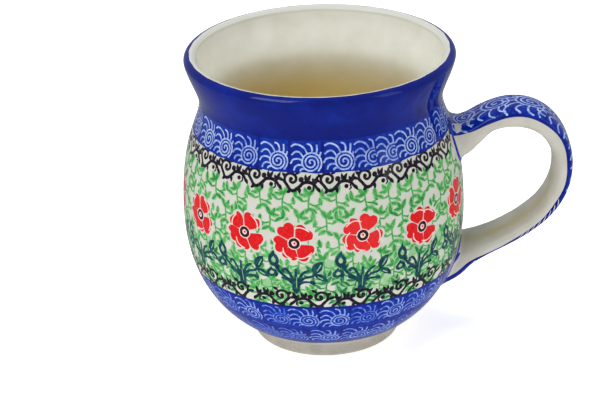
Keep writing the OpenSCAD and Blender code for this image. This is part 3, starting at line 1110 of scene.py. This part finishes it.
def paint_strap():
    """The blue back with its row of stamps, and the blue lines round both roots."""
    strap.put(np.vstack([strap_edge(-1), strap_edge(1)[::-1]]), "band_gap")
    count = int(STRAP_RUN / 10.2)
    for k in range(count):
        y = 6.5 + k * (STRAP_RUN - 10) / count
        put_on_strap([(STRAP_BLOCK, "stamp_ground")], 0, y, rng.uniform(0.8, 1.0), rng.uniform(-3, 3))
        put_on_strap(shell_stamp(rng.uniform(0.34, 0.42)), -0.5, y, rng.uniform(0.6, 1),
                     180 + rng.uniform(-7, 7), 1.3)
    x = np.linspace(0, STRAP_ROUND, 121)
    for y0, sign in ((0.0, 1), (STRAP_RUN, -1)):
        y = y0 + sign * (1.2 + 0.15 * np.sin(6 * math.pi * x / STRAP_ROUND + y0))
        line = np.stack([x, y], 1)
        strap.put(np.vstack([line - [0, ROOT_LINE], line[::-1] + [0, ROOT_LINE]]), "outline_blue")
    put_on_strap([(disc((0, 0), 0.8, 12, 0.15, rng), "outline_blue")], 11.6, STRAP_RUN - 1.5)
    put_on_strap([(MISSED, "strap_cream")], 5.6, 3.8, lean=4, size=1.05)
    for k in range(8):
        y = STRAP_RUN * (0.57 + 0.022 * k)
        put_on_strap([(leaf((0, 0), (-1.5, 1.0), 0.6), "strap_cream")], BACK_HALF + 0.35, y)


def make_handle():
    """The handle's glaze, its clay core and the slip at both roots."""
    grid = seam_safe_grid(STRAP_ROUND, STRAP_GRID, STRAP_RUN - STRAP_GRID, STRAP_GRID)
    x = COLUMN_D[::6]
    rows = [y for v in (0.4, 0.8, 1.3, 1.8, 2.4, 3.0) for y in (v, STRAP_RUN - v)]
    grid += [(v, y) for y in rows for v in x]
    ends = [np.stack([x, np.full(len(x), y)], 1) for y in (0.0, STRAP_RUN)]
    flat, faces, mid = strap.triangles(0, STRAP_RUN, grid, ends)
    names, paint, load = strap.painted_faces(mid, np.zeros(len(mid), int), ["strap_cream"])
    faces, real = welded(flat, faces, STRAP_ROUND)
    piece = add_skin("handle_skin", place_on_strap, flat, faces[real], 0.3, names, paint[real], load[real])
    add_finger_streak(piece)
    finish_piece(piece, "handle_glaze")
    top, foot = FILLET, STRAP_RUN - FILLET
    core = [("handle_core", top, foot, 120, "clay", "bare_stoneware", "handle_casting"),
            ("upper_joint_slip", 0.3, top, 8, "slip", "joint_slip", "upper_slip_joint"),
            ("lower_joint_slip", foot, STRAP_RUN - 0.3, 8, "slip", "joint_slip", "lower_slip_joint")]
    for name, low, high, rings, paint, slot, node in core:
        finish_piece(make_core(name, low, high, rings, paint), node)


def add_finger_streak(piece):
    """Marks how strong the tan streak is: most along the middle of the finger side, low on the loop."""
    co = np.array([v.co[:] for v in piece.data.vertices]) * 1000
    low = np.clip((78 - co[:, 2]) / 35, 0, 1) * np.clip((co[:, 0] - 40) / 12, 0, 1)
    value = np.exp(-((co[:, 1] + 3) / 2.6) ** 2) * low
    piece.data.attributes.new("finger_streak", "FLOAT", "POINT").data.foreach_set("value", value.astype(np.float32))


def make_core(name, low, high, rings, paint):
    """A closed stretch of what lies under the handle's glaze, between two heights of its map."""
    x = COLUMN_D[:-1:5]
    columns = len(x)
    flat = np.array([(v, y) for y in np.linspace(low, high, rings) for v in x])
    points = place_on_strap(*flat.T) - (GLAZE - 0.05) * normals_of(place_on_strap, flat)
    faces = [[j * columns + i, j * columns + (i + 1) % columns, (j + 1) * columns + (i + 1) % columns,
              (j + 1) * columns + i] for j in range(rings - 1) for i in range(columns)]
    faces += [list(range(columns))[::-1], list(range((rings - 1) * columns, rings * columns))]
    return add_piece(name, points, faces, None, [paint])


# ---- studio ----
LENS, SENSOR = 130.87, 36
CAMERA_AT = (0, -0.6909, 0.3674)
CAMERA_PAN, CAMERA_DOWN, CAMERA_ROLL = 0.683, 24.758, -1.898
# Soft boxes: (name, place, size, watts, whether the glaze mirrors it), all facing LIGHTS_AIM
LIGHTS = [("key", (-0.75, -0.75, 1.05), (0.8, 0.8), 6.6, True),
          ("top", (0.0, 0.1, 1.35), (1.0, 1.0), 12, False),
          ("fill", (1.2, -0.7, 0.7), (0.5, 1.0), 1.6, True)]
LIGHTS_AIM = Vector((0, 0, 0.05))
ROOM_LIGHT = 0.32
FLOOR_GLOW = 0.66
FLOOR_SIZE = 6


def make_camera():
    """A long lens, looking down at the mug from the front."""
    camera = show("camera", bpy.data.cameras.new("camera"))
    camera.data.lens = LENS
    camera.data.sensor_width = SENSOR
    camera.data.clip_start = 0.05
    turns = [(CAMERA_PAN, "Z"), (90 - CAMERA_DOWN, "X"), (CAMERA_ROLL, "Z")]
    pan, tilt, roll = (Matrix.Rotation(math.radians(angle), 4, axis) for angle, axis in turns)
    camera.matrix_world = Matrix.Translation(CAMERA_AT) @ pan @ tilt @ roll
    bpy.context.scene.camera = camera


def soft_light(name, place, size, power, mirrored):
    """A soft box, which the glaze mirrors or not."""
    data = bpy.data.lights.new(name, "AREA")
    data.shape = "RECTANGLE"
    data.size, data.size_y = size
    data.energy = power
    light = show(name, data)
    light.location = place
    light.visible_glossy = mirrored
    light.rotation_euler = (LIGHTS_AIM - Vector(place)).to_track_quat("-Z", "Y").to_euler()


def make_floor():
    """A large pale sheet with a trace of paper grain."""
    look = Look("floor_paper")
    tone = look.patches(60, 2.0, 0.3)
    look.put(look.shader["Base Color"], look.blend(tone, linear((250, 250, 250)), linear((247, 247, 247))))
    look.shader["Roughness"].default_value = 0.9
    look.shader["Emission Color"].default_value = (1, 1, 1, 1)
    look.shader["Emission Strength"].default_value = FLOOR_GLOW
    bpy.ops.mesh.primitive_plane_add(size=FLOOR_SIZE)
    floor = bpy.context.object
    floor.name = "floor"
    floor.data.materials.append(look.mat)
    floor.visible_glossy = False


def make_studio():
    """Room light, soft boxes and the floor."""
    world = bpy.data.worlds.new("studio")
    world.use_nodes = True
    sky = world.node_tree.nodes["Background"].inputs
    sky["Color"].default_value = (1, 1, 1, 1)
    sky["Strength"].default_value = ROOM_LIGHT
    bpy.context.scene.world = world
    bpy.context.scene.view_settings.view_transform = "Standard"
    for light in LIGHTS:
        soft_light(*light)
    make_floor()


paint_bands()
paint_field()
paint_strap()
make_wall()
make_handle()
make_body()
make_liner()
make_base_coat()
make_camera()
make_studio()
